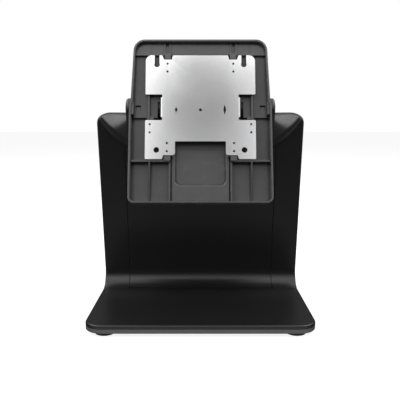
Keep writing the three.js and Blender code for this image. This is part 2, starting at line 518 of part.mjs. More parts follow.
function addTray() {
  const { rim, wall, floor, band, bandTop, bandBottom, upper, shelf, step } = TRAY;
  const under = floor - wall;
  const wide = 90;
  const backLine = polygon([
    [TRAY_BOTTOM - 1, under], [bandBottom + wall, under], [bandBottom + wall, band - wall],
    [bandTop, band - wall], [step + wall, upper - wall], [step + wall, shelf - wall],
    [TRAY_TOP + 1, shelf - wall], [TRAY_TOP + 1, rim], [TRAY_BOTTOM - 1, rim],
  ]);
  const frontLine = polygon([
    [TRAY_BOTTOM - 1, floor], [bandBottom, floor], [bandBottom, band], [bandTop, band],
    [step, upper], [step, shelf], [TRAY_TOP + 1, shelf], [TRAY_TOP + 1, rim + 5],
    [TRAY_BOTTOM - 1, rim + 5],
  ]);
  const body = solid(prismZ(trayOutline(0), 0, rim, 6)).intersect(solid(prismX(backLine, -wide, wide)));
  const hollow = solid(prismZ(trayOutline(wall), 0, rim + 5, 6))
    .intersect(solid(prismX(frontLine, -wide, wide)));
  const barrelRoom = rodX(-wide, wide, 0, 0, BARREL_ROOM, 40);

  const sheetBack = SHEET.front - SHEET.thick - GAP;
  const deck = sheetBack;                       // height of the ribs that carry the plate
  const low = under + 0.5;
  const ribs = [-1, 1].flatMap((side) => {
    const rib = (x0, x1, y0, y1, top, from = low) => box(...span(side, x0, x1), y0, y1, from, top);
    const fin = [[-110, low], [-110, 14.5], [-67, deck], [-66, deck], [-66, low]];
    return [
      rib(44.2, 78.5, 58, 59.9, deck),          // rung above the plate
      rib(40.4, 42.4, 58, 74, deck), rib(34, 36, 58, 74, deck),
      rib(56.6, 57.8, 58, 74, shelf + 0.7),
      rib(32.8, 43.6, 57.8, 59.9, deck),
      rib(34.1, 41.1, 53, 60, SHEET.front - 0.4),   // lug in the plate's upper notch
      rib(58.4, 60.2, -19, 58.5, deck),         // carries the plate's side
      rib(53.7, 61.4, -17.8, -13.5, deck - 2),
      rib(76.5, 79.2, -12.6, 2.6, rim - 2),     // stop beside the hinge
      rib(34.1, 80.5, -66.9, -64.9, deck),      // rung below the plate
      rib(34.1, 36.1, -112.5, -60.4, deck - 3),
      rib(34.1, 41.5, -66, -60.5, SHEET.front - 0.4),
      rib(30, 32, -62, step, deck, band),       // carries the plate's middle
      solid(prismX(polygon(fin), ...span(side, 57.2, 59))),
    ];
  });
  // Raised pad between the inner ribs, with a recess for fingers and plugs that runs in under the plate.
  const pad = box(-32.4, 32.4, TRAY_BOTTOM + 1, -52, low, 19);
  const recess = solid(prismZ(
    outline([[-27.9, -92.4, 5], [27.9, -92.4, 5], [27.9, -40], [-27.9, -40]]), 14, rim + 5));
  const cableHole = solid(prismZ(
    outline([[-24, -40, 4], [24, -40, 4], [24, -20, 4], [-24, -20, 4]]), 0, 18));
  const earHoles = [-1, 1].map((side) => box(...span(side, 42.5, 49.6), -19, 7.5, 0, rim + 5));
  const clipHoles = [-1, 1].flatMap((side) => [
    box(...span(side, 69, 75), -1.8, 0.4, 0, rim),
    ...[69.2, 73.8].map((x) => box(...span(side, x, x + 0.9), -5.2, -1.8, band - 0.8, rim)),
  ]);
  const channels = [-1, 1].map((side) => box(...span(side, 36, 40.4), step + 0.9, 73, 21.4, rim));

  const dish = cut(body, hollow);
  const stiffening = join(pad, ribs).intersect(body);
  const openings = [recess, barrelRoom, cableHole, ...earHoles, ...clipHoles, ...channels];
  place('head_tray', cut(join(dish, stiffening), openings), greyMoulding, head);
}

addFoot();
addHousing();
addCovers();
addNeck();
addSteelwork();
addHinges();
addMountPlate();
addTray();
addFasteners();

export default model;
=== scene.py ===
"""Looks for a counter-top tilting stand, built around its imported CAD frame.

Shapes are drawn in millimetres in the frame's own axes (+Z up, the user towards -Y) and are turned into
metres when a mesh is made. The head's pieces are drawn flat, with X across, Y up the tray and Z out
towards the user, and are then laid back about the hinge line.
"""
import math

import bmesh
import bpy
import numpy as np
from mathutils import Matrix, Vector


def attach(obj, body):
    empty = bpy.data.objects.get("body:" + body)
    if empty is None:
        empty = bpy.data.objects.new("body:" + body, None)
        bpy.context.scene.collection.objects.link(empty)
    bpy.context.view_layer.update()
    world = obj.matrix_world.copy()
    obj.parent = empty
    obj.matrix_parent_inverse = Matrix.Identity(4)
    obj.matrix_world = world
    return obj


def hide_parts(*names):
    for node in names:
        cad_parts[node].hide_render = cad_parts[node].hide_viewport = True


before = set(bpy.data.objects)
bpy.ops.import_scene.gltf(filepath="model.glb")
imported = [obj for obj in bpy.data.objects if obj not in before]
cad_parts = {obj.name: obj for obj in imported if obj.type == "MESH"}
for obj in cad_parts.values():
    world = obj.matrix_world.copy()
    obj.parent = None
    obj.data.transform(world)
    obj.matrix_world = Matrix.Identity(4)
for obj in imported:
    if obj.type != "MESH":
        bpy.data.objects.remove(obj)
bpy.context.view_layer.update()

# ------------------------------------------------------------------ dimensions shared with the CAD
HALF_WIDTH = 128.0
HALF_DEPTH = 102.5
GAP = 0.3
RISE = 2.1                          # heights are drawn from this far above the floor
FOOT_HEIGHT = 2.5
FOOT_X, FOOT_Y, FOOT_R = 106.0, 86.5, 11.5
PLATE_TOP = 7.5
BASE_TOP = 12.0
BASE_SKIN = 2.5
WALL = 3.0
UPRIGHT_TOP = 241.5
LEAN = 0.1817
FRONT_Y = 53.8
THICKNESS = 52.75
FILLET_Y, FILLET_Z, FILLET_R = 31.0, 31.0, 19.0
SCOOP_X, SCOOP_Z, SCOOP_R = 33.8, 292.1, 105.5
SCOOP_START = 85.6
AXIS_Y, AXIS_Z = -7.5, 244.0
TILT = math.radians(15)
NECK_HALF, NECK_BOTTOM, NECK_BACK, NECK_R = 87.7, 203.3, 60.3, 13.5
NECK_WALL = 2.5
COVER_HALF, COVER_TOP, COVER_CORNER, COVER_THICK = 94.6, 197.1, 5.0, 2.5
SHEET_FRONT, SHEET_THICK = 26.0, 1.7
EAR_OUTER, EAR_TOP, EAR_BOTTOM = 46.3, 7.2, -15.6
TRAY_RIM, TRAY_TOP, TRAY_BOTTOM = 29.0, 75.3, -114.6
BETA = math.atan(LEAN)
FRONT_CORNER, TOP_CORNER = 20.0, 14.0
BASE_EDGE, SIDE_EDGE, SCOOP_EDGE, REAR_EDGE = 1.5, 3.0, 6.0, 4.0
LEDGE, LEDGE_THICK = 3.4, 2.5       # lip inside an opening, on which its cover rests

REAR_HALF, REAR_BOTTOM, REAR_TOP, REAR_THICK = 85.0, 40.3, 204.7, 2.2
REAR_RIM = 9.0                      # from the rear cover's edge to the window behind it
OUTLET_HALF, OUTLET_TOP = 25.0, 62.0
ROOF_FRONT_Y, ROOF_FRONT_Z = -4.17, 257.08      # where the neck's roof leaves the barrel
ROOF_SLOPE, ROOF_MIDDLE = 0.2493, 20.0

# Screw positions, and sizes as (shank radius, shank length, head radius, head height)
SHELL_SCREWS, SHELL_SCREW = [(-60, -84), (60, -84), (-84, 92), (84, 92)], (1.5, 5.5, 3, 2)
FRAME_SCREWS, FRAME_SCREW = [(-50, 70), (50, 70), (-50, 88), (50, 88)], (2.5, 6.5, 4.5, 2.6)
BRACKET_SCREWS, BRACKET_SCREW = [(40, 214), (38, 230)], (2, 9, 3.5, 2.4)
REAR_SCREW_X, REAR_SCREW_Z, REAR_SCREW = 60.0, 200.3, (1.5, 6, 3, 1.8)
SCREW_HOLE = 1.8
BRACKET_INSIDE = 78.0


# ------------------------------------------------------------------ mesh helpers
def make_object(name, points, faces):
    mesh = bpy.data.meshes.new(name)
    mesh.from_pydata((np.asarray(points, float) / 1000).tolist(), [], faces)
    work = bmesh.new()
    work.from_mesh(mesh)
    bmesh.ops.remove_doubles(work, verts=work.verts, dist=1e-7)
    bmesh.ops.recalc_face_normals(work, faces=work.faces)
    work.to_mesh(mesh)
    work.free()
    obj = bpy.data.objects.new(name, mesh)
    bpy.context.scene.collection.objects.link(obj)
    return obj


def loft(name, rings):
    """Closed solid through rings with the same number of points, flat at both ends."""
    rings = [np.asarray(ring, float) for ring in rings]
    count = len(rings[0])
    faces = [list(range(count))[::-1]]
    for level in range(len(rings) - 1):
        low, high = level * count, (level + 1) * count
        faces += [[low + i, low + (i + 1) % count, high + (i + 1) % count, high + i] for i in range(count)]
    faces.append([(len(rings) - 1) * count + i for i in range(count)])
    return make_object(name, np.vstack(rings), faces)


def lift(points, axis, value):
    """2-D points placed in 3-D at a level along X, Y or Z."""
    points = np.asarray(points, float)
    return np.insert(points, "xyz".index(axis), value, axis=1)


def prism(name, points, low, high, axis="z"):
    """2-D outline pulled straight from one level to another."""
    return loft(name, [lift(points, axis, low), lift(points, axis, high)])


def box(name, x0, x1, y0, y1, z0, z1):
    return prism(name, [(x0, y0), (x1, y0), (x1, y1), (x0, y1)], z0, z1)


def outline(corners, inset=0.0, step=8.0):
    """Closed 2-D outline through (x, y, radius) corners. A positive inset shrinks it."""
    corners = [tuple(c) + (0.0,) * (3 - len(c)) for c in corners]
    xy = np.array([c[:2] for c in corners], float)
    area = np.sum(xy[:, 0] * np.roll(xy[:, 1], -1) - np.roll(xy[:, 0], -1) * xy[:, 1])
    turn = 1.0 if area > 0 else -1.0
    points = []
    for i, (x, y, radius) in enumerate(corners):
        here = np.array([x, y])
        back = xy[i - 1] - here
        ahead = xy[(i + 1) % len(xy)] - here
        back /= np.linalg.norm(back)
        ahead /= np.linalg.norm(ahead)
        cross = (back[0] * ahead[1] - back[1] * ahead[0]) * turn
        half = math.acos(np.clip(back @ ahead, -1, 1)) / 2
        if half > math.pi / 2 - 1e-4:
            normal = turn * np.array([-ahead[1], ahead[0]])
            points.append(here + normal * inset)
            continue
        bisector = (back + ahead) / np.linalg.norm(back + ahead)
        convex = cross < 0
        shift = inset if convex else -inset
        corner = here + bisector * shift / math.sin(half)
        if radius <= 0:
            points.append(corner)
            continue
        fit = max(radius - shift, 0.02)
        centre = corner + bisector * fit / math.sin(half)
        start = corner + back * fit / math.tan(half) - centre
        end = corner + ahead * fit / math.tan(half) - centre
        a0 = math.atan2(start[1], start[0])
        a1 = math.atan2(end[1], end[0])
        sweep = (a1 - a0 + math.pi) % (2 * math.pi) - math.pi
        steps = max(2, int(round(math.degrees(math.pi - 2 * half) / step)))
        for k in range(steps + 1):
            angle = a0 + sweep * k / steps
            points.append(centre + fit * np.array([math.cos(angle), math.sin(angle)]))
    return np.array(points)


def mirrored(half, inset=0.0, step=8.0):
    """Outline that is the same on both sides of X = 0, from the corners of its right half."""
    flipped = [(-c[0],) + tuple(c[1:]) for c in half]
    return outline(list(half) + flipped[::-1], inset, step)


def circle(x, y, r, count=32):
    angles = np.arange(count) * 2 * math.pi / count
    return np.stack([x + r * np.cos(angles), y + r * np.sin(angles)], axis=1)


def turned(name, profile, count=48):
    """Solid of revolution about Z through (radius, height) points that start and end on the axis."""
    angles = np.arange(count) * 2 * math.pi / count
    rings = [np.stack([r * np.cos(angles), r * np.sin(angles), np.full(count, h)], axis=1)
             for r, h in profile[1:-1]]
    return loft(name, rings)


def turned_ring(name, profile, count=48):
    """Ring about Z from a closed loop of (radius, height) points."""
    points, faces, n = [], [], len(profile)
    for k in range(count):
        a = 2 * math.pi * k / count
        points += [(r * math.cos(a), r * math.sin(a), h) for r, h in profile]
        low, high = k * n, ((k + 1) % count) * n
        faces += [[low + i, low + (i + 1) % n, high + (i + 1) % n, high + i] for i in range(n)]
    return make_object(name, points, faces)


def shift(obj, matrix):
    """Moves a piece's mesh by a matrix in metres."""
    obj.data.transform(matrix)
    if matrix.determinant() < 0:
        obj.data.flip_normals()
    return obj


def move(obj, x=0.0, y=0.0, z=0.0):
    return shift(obj, Matrix.Translation((x / 1000, y / 1000, z / 1000)))


def leaning(obj):
    """Shears a piece so that it follows the upright's leaning faces."""
    sheared = Matrix(((1, 0, 0, 0), (0, 1, -LEAN, LEAN * BASE_TOP / 1000), (0, 0, 1, 0), (0, 0, 0, 1)))
    return shift(obj, sheared)


def leaning_box(name, x0, x1, d0, d1, z0, z1):
    return leaning(box(name, x0, x1, FRONT_Y + d0, FRONT_Y + d1, z0, z1))


def bake(obj):
    """Applies a piece's modifiers to its mesh."""
    graph = bpy.context.evaluated_depsgraph_get()
    mesh = bpy.data.meshes.new_from_object(obj.evaluated_get(graph))
    obj.modifiers.clear()
    old, obj.data = obj.data, mesh
    name = old.name
    bpy.data.meshes.remove(old)
    mesh.name = name
    return obj


def combine(obj, tools, operation):
    """Boolean with each tool in turn, after which the tools are removed."""
    for tool in tools:
        step = obj.modifiers.new("step", "BOOLEAN")
        step.operation = operation
        step.solver = "MANIFOLD"
        step.object = tool
    bake(obj)
    for tool in tools:
        bpy.data.objects.remove(tool)
    return obj


def join(obj, *tools):
    return combine(obj, list(tools), "UNION")


def cut(obj, *tools):
    return combine(obj, list(tools), "DIFFERENCE")


def clip(obj, *tools):
    return combine(obj, list(tools), "INTERSECT")


def clean(obj, angle=0.4):
    """Merges the flat faces that booleans leave in pieces."""
    work = bmesh.new()
    work.from_mesh(obj.data)
    bmesh.ops.remove_doubles(work, verts=work.verts, dist=2e-6)
    bmesh.ops.dissolve_limit(work, angle_limit=math.radians(angle), verts=work.verts, edges=work.edges)
    work.to_mesh(obj.data)
    work.free()
    return obj


def bevel(obj, width):
    """Eases the edges that turn by more than 35 degrees, over a width in millimetres."""
    step = obj.modifiers.new("bevel", "BEVEL")
    step.width = width / 1000
    step.segments = 2
    step.limit_method = "ANGLE"
    step.angle_limit = math.radians(35)
    step.use_clamp_overlap = True
    step.miter_outer = "MITER_ARC"
    return bake(obj)


def shade(obj, angle=32.0):
    """Smooth faces, with edges sharper than the angle kept crisp."""
    obj.data.polygons.foreach_set("use_smooth", [True] * len(obj.data.polygons))
    obj.data.set_sharp_from_angle(angle=math.radians(angle))
    step = obj.modifiers.new("weighted", "WEIGHTED_NORMAL")
    step.keep_sharp = True
    return bake(obj)


def finished(obj, node, slot, body):
    """Gives a piece its material, its body and the CAD nodes that it stands for."""
    move(obj, z=RISE)
    obj.data.materials.clear()
    obj.data.materials.append(materials[slot])
    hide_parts(*([node] if isinstance(node, str) else node))
    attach(obj, body)
    return obj


# ------------------------------------------------------------------ materials
FINE_SHARE = 0.45                   # of a finish's pattern; broad patches make up the rest
COLOUR_SPAN, ROUGH_SPAN = (0.35, 0.65), (0.3, 0.7)
# Occlusion values over which the painted shade in deep corners fades in
CORNER_SHADE_SPAN = (0.35, 0.82)


def material(name, dark, light, rough, grain, metallic=0.0, specular=0.5, stretch=(1, 1, 1), patch=60.0,
             corner_shade=None):
    """Procedural finish: patchy colour and roughness, a fine bumped grain and, if asked for, painted shade
    in deep corners.

    dark, light: colour range. rough: roughness range. grain: (scale per metre, strength, depth in mm).
    stretch: how much finer the grain is along each axis. patch: scale of the broad patches.
    corner_shade: (reach in mm, level) of painted shade: deep corners, where shade falls, are painted darker
    than open surfaces, down to this level.
    """
    mat = bpy.data.materials.new(name)
    mat.use_nodes = True
    nodes, links = mat.node_tree.nodes, mat.node_tree.links
    shader = nodes["Principled BSDF"]
    shader.inputs["Metallic"].default_value = metallic
    shader.inputs["Specular IOR Level"].default_value = specular
    place = nodes.new("ShaderNodeTexCoord")
    mapping = nodes.new("ShaderNodeMapping")
    mapping.inputs["Scale"].default_value = stretch
    links.new(place.outputs["Object"], mapping.inputs["Vector"])

    broad = nodes.new("ShaderNodeTexNoise")
    broad.inputs["Scale"].default_value = patch
    broad.inputs["Detail"].default_value = 5
    links.new(place.outputs["Object"], broad.inputs["Vector"])
    fine = nodes.new("ShaderNodeTexNoise")
    fine.inputs["Scale"].default_value = grain[0]
    fine.inputs["Detail"].default_value = 3
    links.new(mapping.outputs["Vector"], fine.inputs["Vector"])

    mixed = nodes.new("ShaderNodeMath")
    mixed.operation = "MULTIPLY_ADD"
    mixed.inputs[1].default_value = FINE_SHARE
    links.new(fine.outputs["Fac"], mixed.inputs[0])
    rest = nodes.new("ShaderNodeMath")
    rest.operation = "MULTIPLY"
    rest.inputs[1].default_value = 1 - FINE_SHARE
    links.new(broad.outputs["Fac"], rest.inputs[0])
    links.new(rest.outputs[0], mixed.inputs[2])

    ramp = nodes.new("ShaderNodeValToRGB")
    for element, position, colour in zip(ramp.color_ramp.elements, COLOUR_SPAN, (dark, light)):
        element.position = position
        element.color = (*colour, 1)
    links.new(mixed.outputs[0], ramp.inputs["Fac"])
    # Painted shade: an ambient-occlusion node darkens the colour in deep corners and along walls and ribs,
    # where shade falls.
    if corner_shade:
        reach, level = corner_shade
        occlusion_shade = nodes.new("ShaderNodeAmbientOcclusion")
        occlusion_shade.samples = 8
        occlusion_shade.inputs["Distance"].default_value = reach / 1000
        depth = nodes.new("ShaderNodeMapRange")
        depth.inputs["From Min"].default_value = CORNER_SHADE_SPAN[0]
        depth.inputs["From Max"].default_value = CORNER_SHADE_SPAN[1]
        depth.inputs["To Min"].default_value = level
        links.new(occlusion_shade.outputs["AO"], depth.inputs["Value"])
        shaded_colour = nodes.new("ShaderNodeVectorMath")
        shaded_colour.operation = "SCALE"
        links.new(ramp.outputs["Color"], shaded_colour.inputs[0])
        links.new(depth.outputs["Result"], shaded_colour.inputs["Scale"])
        links.new(shaded_colour.outputs["Vector"], shader.inputs["Base Color"])
    else:
        links.new(ramp.outputs["Color"], shader.inputs["Base Color"])

    span = nodes.new("ShaderNodeMapRange")
    span.inputs["From Min"].default_value = ROUGH_SPAN[0]
    span.inputs["From Max"].default_value = ROUGH_SPAN[1]
    span.inputs["To Min"].default_value = rough[0]
    span.inputs["To Max"].default_value = rough[1]
    links.new(mixed.outputs[0], span.inputs["Value"])
    links.new(span.outputs["Result"], shader.inputs["Roughness"])

    bump = nodes.new("ShaderNodeBump")
    bump.inputs["Strength"].default_value = grain[1]
    bump.inputs["Distance"].default_value = grain[2] / 1000
    links.new(fine.outputs["Fac"], bump.inputs["Height"])
    links.new(bump.outputs["Normal"], shader.inputs["Normal"])
    return mat


def grey(level, blue=0.0):
    return (level, level, level * (1 + blue))


materials = {
    "gloss_black_plastic": material(
        "gloss_black_plastic", grey(0.0060), grey(0.0068, 0.05), (0.29, 0.33), (900, 0.03, 0.015)),
    # The tray's grey plastic has painted shade in its corners, along its walls and beside its ribs.
    "grey_moulded_plastic": material(
        "grey_moulded_plastic", grey(0.070), grey(0.078), (0.22, 0.29), (2600, 0.25, 0.04),
        corner_shade=(3.5, 0.22)),
    "plated_sheet_steel": material(
        "plated_sheet_steel", grey(0.64), grey(0.67, 0.02), (0.16, 0.19), (500, 0.03, 0.01),
        metallic=1.0, stretch=(0.5, 4, 4), patch=25),
    "painted_foot_plate": material(
        "painted_foot_plate", grey(0.068, 0.06), grey(0.080, 0.08), (0.42, 0.52), (1700, 0.30, 0.05)),
    "grey_rubber": material(
        "grey_rubber", grey(0.028), grey(0.036), (0.75, 0.9), (1500, 0.4, 0.08), specular=0.3),
    "bare_steel": material(
        "bare_steel", grey(0.38), grey(0.50, 0.03), (0.32, 0.5), (500, 0.15, 0.03), metallic=1.0,
        patch=120),
    "black_steel": material(
        "black_steel", grey(0.02), grey(0.034), (0.35, 0.5), (1200, 0.25, 0.03), metallic=0.6),
}


# ------------------------------------------------------------------ housing
def face_y(z):
    return FRONT_Y - LEAN * (z - BASE_TOP)


def round_max(a, b, r):
    """Overlap of two solids given by distance, with a rounded edge where they meet."""
    return np.minimum(-r, np.maximum(a, b)) + np.hypot(np.maximum(r + a, 0), np.maximum(r + b, 0))


def swept_field(y, z):
    """Distance above the base and in front of the upright, round the hollow sweep between them."""
    dy, dz = y - FILLET_Y, z - FILLET_Z
    angle = np.arctan2(dz, dy)
    floor = z - BASE_TOP
    face = (face_y(z) - y) * math.cos(BETA)
    arc = FILLET_R - np.hypot(dy, dz)
    open_side = np.where(angle > BETA, np.minimum(face, floor), floor)
    return np.where((angle >= -math.pi / 2) & (angle <= BETA), arc, open_side)


def scoop_field(x, y, z):
    """Distance above the dished shoulder, which runs up and back at 45 degrees from an arc."""
    across = np.clip(np.abs(x) - SCOOP_X, 0, SCOOP_R - 1)
    drop = np.sqrt(SCOOP_R ** 2 - across ** 2)
    edge = SCOOP_Z - drop
    slope = across / drop * (1 + LEAN)
    value = (z - y - edge + face_y(edge)) / np.sqrt(2 + slope ** 2)
    return np.where(np.abs(x) < SCOOP_START, -60.0, value)


def housing_field(x, y, z):
    plan = round_max(np.abs(x) - HALF_WIDTH, -HALF_DEPTH - y, FRONT_CORNER)
    plan = round_max(plan, z - UPRIGHT_TOP, TOP_CORNER)
    front = round_max(swept_field(y, z), scoop_field(x, y, z), SCOOP_EDGE)
    edge = BASE_EDGE + (SIDE_EDGE - BASE_EDGE) * np.clip((z - BASE_TOP) / 22, 0, 1)
    rear = np.maximum((y - face_y(z) - THICKNESS) * math.cos(BETA), y - HALF_DEPTH)
    return round_max(round_max(plan, front, edge), rear, REAR_EDGE)


def surface_points(x, starts, directions, reach):
    """Where rays from inside the housing come out of it, in a slice at x."""
    starts = np.asarray(starts, float)
    directions = np.asarray(directions, float)
    directions = directions / np.linalg.norm(directions, axis=1)[:, None]
    low, high = np.zeros(len(starts)), np.full(len(starts), float(reach))
    for _ in range(42):
        middle = (low + high) / 2
        p = starts + directions * middle[:, None]
        inside = housing_field(np.full(len(starts), x), p[:, 0], p[:, 1]) < 0
        low, high = np.where(inside, middle, low), np.where(inside, high, middle)
    return starts + directions * low[:, None]


def housing_slice(x):
    low = PLATE_TOP + GAP
    over = max(abs(x) - (HALF_WIDTH - FRONT_CORNER), 0.0)
    front = -HALF_DEPTH + FRONT_CORNER - math.sqrt(FRONT_CORNER ** 2 - over ** 2)
    rows = []

    def add(starts, directions, reach):
        rows.append(surface_points(x, starts, directions, reach))

    add([(front + 5, z) for z in (low, low + 0.7, low + 1.4, low + 2.1)], [(-1, 0)] * 4, 8)
    turns = np.radians(np.linspace(180, 90, 10))
    hub = (front + BASE_EDGE, BASE_TOP - BASE_EDGE)
    add([hub] * 10, np.stack([np.cos(turns), np.sin(turns)], axis=1), 3)
    across = front + BASE_EDGE + (FILLET_Y - front - BASE_EDGE) * np.array([0.02, 0.15, 0.4, 0.7, 0.9])
    add([(y, 9.0) for y in across], [(0, 1)] * 5, 5)
    turns = np.linspace(-math.pi / 2, BETA, 26)
    ray = np.stack([np.cos(turns), np.sin(turns)], axis=1)
    add(np.array([FILLET_Y, FILLET_Z]) + ray * (FILLET_R + 4), -ray, 8)
    heights = [45, 60, 80, 100, 120, 140, 160]
    add([(face_y(z) + 10, z) for z in heights], [(-1, 0)] * len(heights), 14)
    hub = np.array([face_y(172) + THICKNESS / 2, 172.0])
    top_front, top_rear = face_y(UPRIGHT_TOP), face_y(UPRIGHT_TOP) + THICKNESS
    aims = [(face_y(z), z) for z in np.arange(176, UPRIGHT_TOP, 0.8)]
    aims += [(y, UPRIGHT_TOP) for y in np.concatenate([
        np.arange(top_front, top_front + 5, 0.7), np.linspace(top_front + 6, top_rear - 7, 14),
        np.arange(top_rear - 6, top_rear, 0.7)])]
    aims += [(face_y(z) + THICKNESS, z) for z in np.concatenate([
        np.arange(UPRIGHT_TOP, UPRIGHT_TOP - 7, -0.7), [225, 205, 185]])]
    add([hub] * len(aims), np.array(aims) - hub, 110)
    heights = [160, 130, 100, 70, 50, 40, 34.3, 28, 20, 14, 12, 10.5, 9, low]
    add([(70.0, z) for z in heights], [(1, 0)] * len(heights), 40)
    return lift(np.vstack(rows), "x", x)


def housing_outer():
    rounding = []
    for radius, step in ((SIDE_EDGE, 9), (FRONT_CORNER, 4.5)):
        rounding += [radius * (1 - math.cos(math.radians(a))) for a in np.arange(step, 90.1, step)]
    edges = [0.001]
    for value in sorted(rounding):
        if value - edges[-1] > 0.03:
            edges.append(value)
    right = [HALF_WIDTH - e for e in edges]
    right += list(np.arange(106.6, 88, -1.4)) + [86.8, SCOOP_START + 0.01, SCOOP_START - 0.01, 60, 30]
    stations = [-x for x in right] + [0.0] + right[::-1]
    return loft("housing_shell", [housing_slice(x) for x in stations])


def base_corners():
    w, d = HALF_WIDTH, HALF_DEPTH
    return [(-w, -d, FRONT_CORNER), (w, -d, FRONT_CORNER), (w, d, 6), (-w, d, 6)]


def rounded_top(half, bottom, top, r):
    return outline([(-half, bottom), (half, bottom), (half, top, r), (-half, top, r)])


def sweep_rows(depth, low, top, corner):
    """(y, z, pull-in) rows along the swept face at a depth below it, with a rounded upper corner."""
    radius = FILLET_R + depth
    start = -math.asin(min(1.0, (FILLET_Z - low) / radius))
    rows = [(FILLET_Y + radius * math.cos(a), FILLET_Z + radius * math.sin(a), 0.0)
            for a in np.linspace(start, BETA, 27)]
    level = [(z, 0.0) for z in (50, 75, 100, 125, 150, 175)]
    turn = np.radians(np.linspace(0, 90, 10))
    level += [(top - corner + corner * math.sin(t), corner * (1 - math.cos(t))) for t in turn]
    return rows + [(face_y(z) + depth * math.hypot(1, LEAN), z, pull) for z, pull in level]


def swept_plug(name, half, top, corner, layers, toe=None):
    """Solid that follows the swept face. Each layer is (growth, depth, lowest height)."""
    rings = []
    for grow, depth, low in layers:
        rows = sweep_rows(depth, low, top + grow, corner + grow)
        if toe is not None:
            rows = [(toe, max(low, BASE_TOP - min(depth, 0)), 0.0)] + rows
        left = [(-(half + grow - pull), y, z) for y, z, pull in rows]
        right = [(half + grow - pull, y, z) for y, z, pull in rows]
        rings.append(left + right[::-1])
    count = len(rings[0])
    faces = []
    for level in range(len(rings) - 1):
        a, b = level * count, (level + 1) * count
        faces += [[a + i, a + (i + 1) % count, b + (i + 1) % count, b + i] for i in range(count)]
    for base in (0, (len(rings) - 1) * count):
        faces += [[base + i, base + i + 1, base + count - 2 - i, base + count - 1 - i]
                  for i in range(count // 2 - 1)]
    return make_object(name, np.vstack(rings), faces)


def shoulder_tools(drop):
    """Space over the dished shoulders, lowered square to their surface for the inside."""
    tools = []
    for side in (-1, 1):
        turn = np.radians(np.linspace(-22, -60.6, 24))
        x = SCOOP_X + SCOOP_R * np.cos(turn)
        z = SCOOP_Z + SCOOP_R * np.sin(turn)
        rim = [(side * a, b - face_y(b)) for a, b in zip(x, z)]
        rim += [(rim[-1][0], UPRIGHT_TOP + 40), (rim[0][0], UPRIGHT_TOP + 40)]
        tool = prism("tool", rim, -5, 80, "y")
        shift(tool, Matrix(((1, 0, 0, 0), (0, 1, 0, 0), (0, 1, 1, 0), (0, 0, 0, 1))))
        tools.append(move(tool, 0, drop, -drop))
    return tools


def rear_screw_tools():
    tools = []
    for side in (-1, 1):
        tool = prism("tool", circle(0, 0, SCREW_HOLE), -12, 12)
        shift(tool, Matrix.Rotation(math.pi / 2 + BETA, 4, "X"))
        tools.append(move(tool, side * REAR_SCREW_X, face_y(REAR_SCREW_Z) + THICKNESS, REAR_SCREW_Z))
    return tools


def make_housing():
    body = housing_outer()
    inside, ceiling = HALF_WIDTH - WALL, UPRIGHT_TOP - WALL
    cavity = leaning_box("tool", -inside, inside, WALL, THICKNESS - WALL, 0, ceiling)
    arch = rounded_top(inside, 0, ceiling, TOP_CORNER - WALL)
    clip(cavity, prism("tool", arch, 0, HALF_DEPTH - WALL, "y"))
    cut(cavity, *shoulder_tools(2.3))
    hollow = prism("tool", outline(base_corners(), WALL), 0, BASE_TOP - BASE_SKIN)
    cut(body, cavity, hollow)

    seat = COVER_THICK + GAP
    ledge = swept_plug("tool", COVER_HALF + LEDGE, COVER_TOP + LEDGE, 1.0,
                       [(0, depth, BASE_TOP - 2) for depth in (seat, seat + LEDGE_THICK)])
    rear_seat = THICKNESS - REAR_THICK - GAP
    rear_ledge = leaning_box("tool", -REAR_HALF - LEDGE, REAR_HALF + LEDGE, rear_seat - LEDGE_THICK,
                             rear_seat, REAR_BOTTOM - LEDGE, REAR_TOP + LEDGE)
    bosses, reach = [], 4
    for x, y in SHELL_SCREWS:
        if y < 0:
            bosses.append(prism("tool", circle(x, y, reach), PLATE_TOP + GAP, BASE_TOP - 1))
        else:
            bosses.append(box("tool", x - reach, x + reach, y - reach, HALF_DEPTH - 1, PLATE_TOP + GAP, 30))
    join(body, ledge, rear_ledge, *bosses)

    chamfer = 0.3
    recess = swept_plug("tool", COVER_HALF, COVER_TOP, COVER_CORNER,
                        [(GAP + chamfer + 1, -1, BASE_TOP), (GAP, chamfer, BASE_TOP + 0.01),
                         (GAP, seat, BASE_TOP + 0.01)], toe=20.0)
    window = box("tool", -84, 84, 0, FRONT_Y + 8, 45, 186)
    clip(window, leaning_box("tool", -90, 90, -10, 10, 0, UPRIGHT_TOP))
    rear_recess = leaning_box("tool", -REAR_HALF - GAP, REAR_HALF + GAP, rear_seat, THICKNESS + 5,
                              REAR_BOTTOM - GAP, REAR_TOP + GAP)
    rear_window = leaning_box("tool", -REAR_HALF + REAR_RIM, REAR_HALF - REAR_RIM, rear_seat - 5, THICKNESS,
                              REAR_BOTTOM + REAR_RIM, REAR_TOP - REAR_RIM)
    outlet = leaning_box("tool", -OUTLET_HALF, OUTLET_HALF, rear_seat - 5, THICKNESS + 5,
                         REAR_BOTTOM - GAP, OUTLET_TOP)
    pilots = [prism("tool", circle(x, y, SCREW_HOLE, 16), 0, BASE_TOP - 0.9) for x, y in SHELL_SCREWS]
    notch = box("tool", -NECK_HALF - GAP, NECK_HALF + GAP, -20, NECK_BACK + GAP, NECK_BOTTOM - GAP,
                UPRIGHT_TOP + 5)
    cut(body, recess, window, rear_recess, rear_window, outlet, *pilots, *rear_screw_tools(), notch)
    shade(clean(body, 0.05), 34)
    finished(body, "housing", "gloss_black_plastic", "stand")


